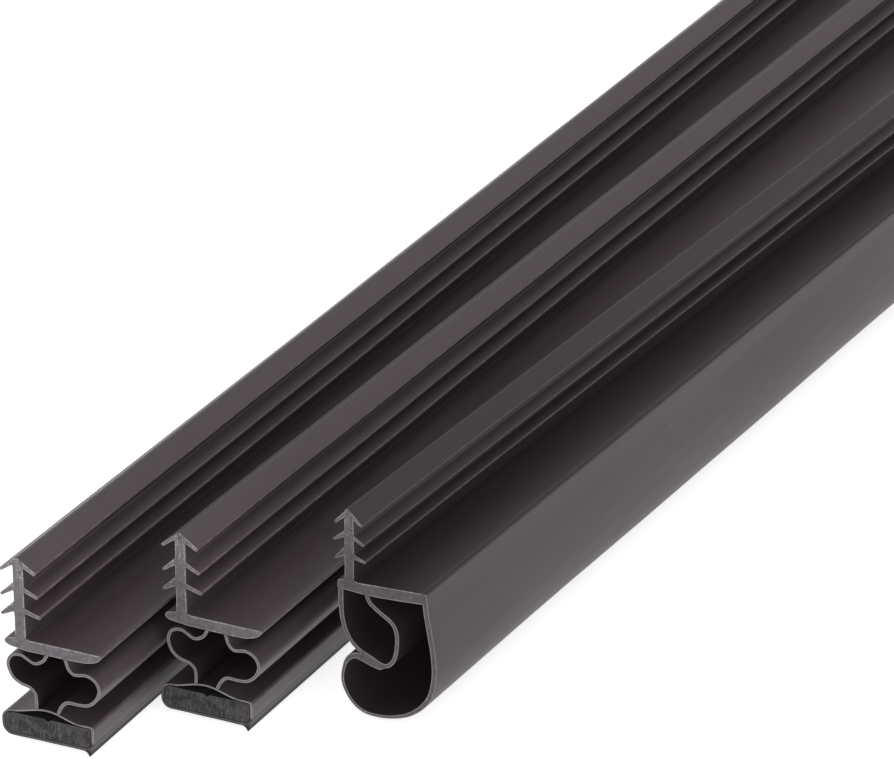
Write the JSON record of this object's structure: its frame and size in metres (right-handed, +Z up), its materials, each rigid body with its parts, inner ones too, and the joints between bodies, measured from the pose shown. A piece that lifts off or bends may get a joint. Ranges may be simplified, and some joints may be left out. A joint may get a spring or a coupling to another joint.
{
  "type": "door weatherstrip set",
  "caption": "Kerf-mounted door weatherstrips: barbed stems with flat flanges, folded bellows with magnet sleeves, and a compression bulb seal.",
  "frame": {"origin": "middle of the footprint of the three strips, on the surface they stand on", "axes": "+Y along the first magnetic strip, away from the staggered front ends (the second strip is turned 1.25 degrees and the compression strip 3.4 degrees towards +X); +Z up, from the sealing side to the kerf stems; +X from the first magnetic strip to the compression strip"},
  "size_m": [0.1016, 0.935, 0.0269],
  "materials": {
    "rigid_pvc": "dark brown-black rigid PVC, satin",
    "flexible_pvc": "dark brown-black flexible PVC, satin with fine die lines",
    "flexible_magnet": "dark grey granular ferrite-filled rubber, matt"
  },
  "bodies": {
    "a_spine": {"a_stem": "rigid_pvc", "a_flange": "rigid_pvc", "a_bellows_left": "flexible_pvc", "a_bellows_right": "flexible_pvc"},
    "a_seal": {"a_sleeve": "flexible_pvc"},
    "a_magnet_bar": {"a_magnet": "flexible_magnet"},
    "a_barb_left_top": {"a_barb_left_top": "flexible_pvc"},
    "a_barb_left_mid": {"a_barb_left_mid": "flexible_pvc"},
    "a_barb_left_low": {"a_barb_left_low": "flexible_pvc"},
    "a_barb_right_top": {"a_barb_right_top": "flexible_pvc"},
    "a_barb_right_mid": {"a_barb_right_mid": "flexible_pvc"},
    "a_barb_right_low": {"a_barb_right_low": "flexible_pvc"},
    "b_spine": {"b_stem": "rigid_pvc", "b_flange": "rigid_pvc", "b_bellows_left": "flexible_pvc", "b_bellows_right": "flexible_pvc"},
    "b_seal": {"b_sleeve": "flexible_pvc"},
    "b_magnet_bar": {"b_magnet": "flexible_magnet"},
    "b_barb_left_top": {"b_barb_left_top": "flexible_pvc"},
    "b_barb_left_mid": {"b_barb_left_mid": "flexible_pvc"},
    "b_barb_left_low": {"b_barb_left_low": "flexible_pvc"},
    "b_barb_right_top": {"b_barb_right_top": "flexible_pvc"},
    "b_barb_right_mid": {"b_barb_right_mid": "flexible_pvc"},
    "b_barb_right_low": {"b_barb_right_low": "flexible_pvc"},
    "c_spine": {"c_stem": "rigid_pvc", "c_flange": "rigid_pvc"},
    "c_bulb": {"c_bulb_wall": "flexible_pvc", "c_pocket_wall": "flexible_pvc"},
    "c_barb_left_top": {"c_barb_left_top": "flexible_pvc"},
    "c_barb_left_mid": {"c_barb_left_mid": "flexible_pvc"},
    "c_barb_left_low": {"c_barb_left_low": "flexible_pvc"},
    "c_barb_right_top": {"c_barb_right_top": "flexible_pvc"},
    "c_barb_right_mid": {"c_barb_right_mid": "flexible_pvc"},
    "c_barb_right_low": {"c_barb_right_low": "flexible_pvc"}
  },
  "joints": [
    {"name": "a_bellows_travel", "type": "slide", "parent": "a_seal", "child": "a_spine", "axis": [0, 0, -1], "range_m": [-0.004, 0.004], "stiffness_N_per_m": 1000, "deforming": ["a_bellows_left", "a_bellows_right"]},
    {"name": "a_magnet_slide", "type": "slide", "parent": "a_seal", "child": "a_magnet_bar", "axis": [0, 1, 0], "range_m": [0, 0.92]},
    {"name": "a_barb_left_top_fold", "type": "hinge", "parent": "a_spine", "child": "a_barb_left_top", "pos_m": [-0.04879, -0.01055, 0.02298], "axis": [0, -1, 0], "range_deg": [0, 45], "stiffness_Nm_per_rad": 0.12},
    {"name": "a_barb_left_mid_fold", "type": "hinge", "parent": "a_spine", "child": "a_barb_left_mid", "pos_m": [-0.04882, -0.01055, 0.0197], "axis": [0, -1, 0], "range_deg": [0, 45]},
    {"name": "a_barb_left_low_fold", "type": "hinge", "parent": "a_spine", "child": "a_barb_left_low", "pos_m": [-0.04891, -0.01055, 0.01699], "axis": [0, -1, 0], "range_deg": [0, 45]},
    {"name": "a_barb_right_top_fold", "type": "hinge", "parent": "a_spine", "child": "a_barb_right_top", "pos_m": [-0.04662, -0.01055, 0.02283], "axis": [0, 1, 0], "range_deg": [0, 45]},
    {"name": "a_barb_right_mid_fold", "type": "hinge", "parent": "a_spine", "child": "a_barb_right_mid", "pos_m": [-0.04666, -0.01055, 0.0197], "axis": [0, 1, 0], "range_deg": [0, 45]},
    {"name": "a_barb_right_low_fold", "type": "hinge", "parent": "a_spine", "child": "a_barb_right_low", "pos_m": [-0.04664, -0.01055, 0.01695], "axis": [0, 1, 0], "range_deg": [0, 45]},
    {"name": "b_lift", "type": "slide", "parent": "a_seal", "child": "b_seal", "axis": [0, 0, 1], "range_m": [0, 0.032]},
    {"name": "b_bellows_travel", "type": "slide", "parent": "b_seal", "child": "b_spine", "axis": [0, 0, -1], "range_m": [-0.004, 0.004], "stiffness_N_per_m": 1000, "deforming": ["b_bellows_left", "b_bellows_right"]},
    {"name": "b_magnet_slide", "type": "slide", "parent": "b_seal", "child": "b_magnet_bar", "axis": [0.0218, 0.9998, 0], "range_m": [0, 0.92]},
    {"name": "b_barb_left_top_fold", "type": "hinge", "parent": "b_spine", "child": "b_barb_left_top", "pos_m": [-0.02462, 0.00334, 0.02298], "axis": [-0.0218, -0.9998, 0], "range_deg": [0, 45], "stiffness_Nm_per_rad": 0.12},
    {"name": "b_barb_left_mid_fold", "type": "hinge", "parent": "b_spine", "child": "b_barb_left_mid", "pos_m": [-0.02465, 0.00334, 0.0197], "axis": [-0.0218, -0.9998, 0], "range_deg": [0, 45]},
    {"name": "b_barb_left_low_fold", "type": "hinge", "parent": "b_spine", "child": "b_barb_left_low", "pos_m": [-0.02474, 0.00334, 0.01699], "axis": [-0.0218, -0.9998, 0], "range_deg": [0, 45]},
    {"name": "b_barb_right_top_fold", "type": "hinge", "parent": "b_spine", "child": "b_barb_right_top", "pos_m": [-0.02245, 0.00329, 0.02283], "axis": [0.0218, 0.9998, 0], "range_deg": [0, 45]},
    {"name": "b_barb_right_mid_fold", "type": "hinge", "parent": "b_spine", "child": "b_barb_right_mid", "pos_m": [-0.02249, 0.00329, 0.0197], "axis": [0.0218, 0.9998, 0], "range_deg": [0, 45]},
    {"name": "b_barb_right_low_fold", "type": "hinge", "parent": "b_spine", "child": "b_barb_right_low", "pos_m": [-0.02247, 0.00329, 0.01695], "axis": [0.0218, 0.9998, 0], "range_deg": [0, 45]},
    {"name": "c_lift", "type": "slide", "parent": "a_seal", "child": "c_bulb", "axis": [0, 0, 1], "range_m": [0, 0.032]},
    {"name": "c_bulb_squeeze", "type": "slide", "parent": "c_bulb", "child": "c_spine", "axis": [0, 0, -1], "range_m": [0, 0.006], "stiffness_N_per_m": 3000, "deforming": ["c_bulb_wall", "c_pocket_wall"]},
    {"name": "c_barb_left_top_fold", "type": "hinge", "parent": "c_spine", "child": "c_barb_left_top", "pos_m": [0.01092, 0.01128, 0.02581], "axis": [-0.0593, -0.9982, 0], "range_deg": [0, 45], "stiffness_Nm_per_rad": 0.12},
    {"name": "c_barb_left_mid_fold", "type": "hinge", "parent": "c_spine", "child": "c_barb_left_mid", "pos_m": [0.01088, 0.01128, 0.02332], "axis": [-0.0593, -0.9982, 0], "range_deg": [0, 45]},
    {"name": "c_barb_left_low_fold", "type": "hinge", "parent": "c_spine", "child": "c_barb_left_low", "pos_m": [0.01082, 0.01129, 0.02088], "axis": [-0.0593, -0.9982, 0], "range_deg": [0, 45]},
    {"name": "c_barb_right_top_fold", "type": "hinge", "parent": "c_spine", "child": "c_barb_right_top", "pos_m": [0.01284, 0.01117, 0.02569], "axis": [0.0593, 0.9982, 0], "range_deg": [0, 45]},
    {"name": "c_barb_right_mid_fold", "type": "hinge", "parent": "c_spine", "child": "c_barb_right_mid", "pos_m": [0.01281, 0.01117, 0.02309], "axis": [0.0593, 0.9982, 0], "range_deg": [0, 45]},
    {"name": "c_barb_right_low_fold", "type": "hinge", "parent": "c_spine", "child": "c_barb_right_low", "pos_m": [0.01283, 0.01117, 0.02066], "axis": [0.0593, 0.9982, 0], "range_deg": [0, 45]}
  ],
  "couplings": [
    {"joint": "a_barb_left_mid_fold", "follows": "a_barb_left_top_fold", "ratio": 1},
    {"joint": "a_barb_left_low_fold", "follows": "a_barb_left_top_fold", "ratio": 1},
    {"joint": "a_barb_right_top_fold", "follows": "a_barb_left_top_fold", "ratio": 1},
    {"joint": "a_barb_right_mid_fold", "follows": "a_barb_left_top_fold", "ratio": 1},
    {"joint": "a_barb_right_low_fold", "follows": "a_barb_left_top_fold", "ratio": 1},
    {"joint": "b_barb_left_mid_fold", "follows": "b_barb_left_top_fold", "ratio": 1},
    {"joint": "b_barb_left_low_fold", "follows": "b_barb_left_top_fold", "ratio": 1},
    {"joint": "b_barb_right_top_fold", "follows": "b_barb_left_top_fold", "ratio": 1},
    {"joint": "b_barb_right_mid_fold", "follows": "b_barb_left_top_fold", "ratio": 1},
    {"joint": "b_barb_right_low_fold", "follows": "b_barb_left_top_fold", "ratio": 1},
    {"joint": "c_barb_left_mid_fold", "follows": "c_barb_left_top_fold", "ratio": 1},
    {"joint": "c_barb_left_low_fold", "follows": "c_barb_left_top_fold", "ratio": 1},
    {"joint": "c_barb_right_top_fold", "follows": "c_barb_left_top_fold", "ratio": 1},
    {"joint": "c_barb_right_mid_fold", "follows": "c_barb_left_top_fold", "ratio": 1},
    {"joint": "c_barb_right_low_fold", "follows": "c_barb_left_top_fold", "ratio": 1}
  ]
}
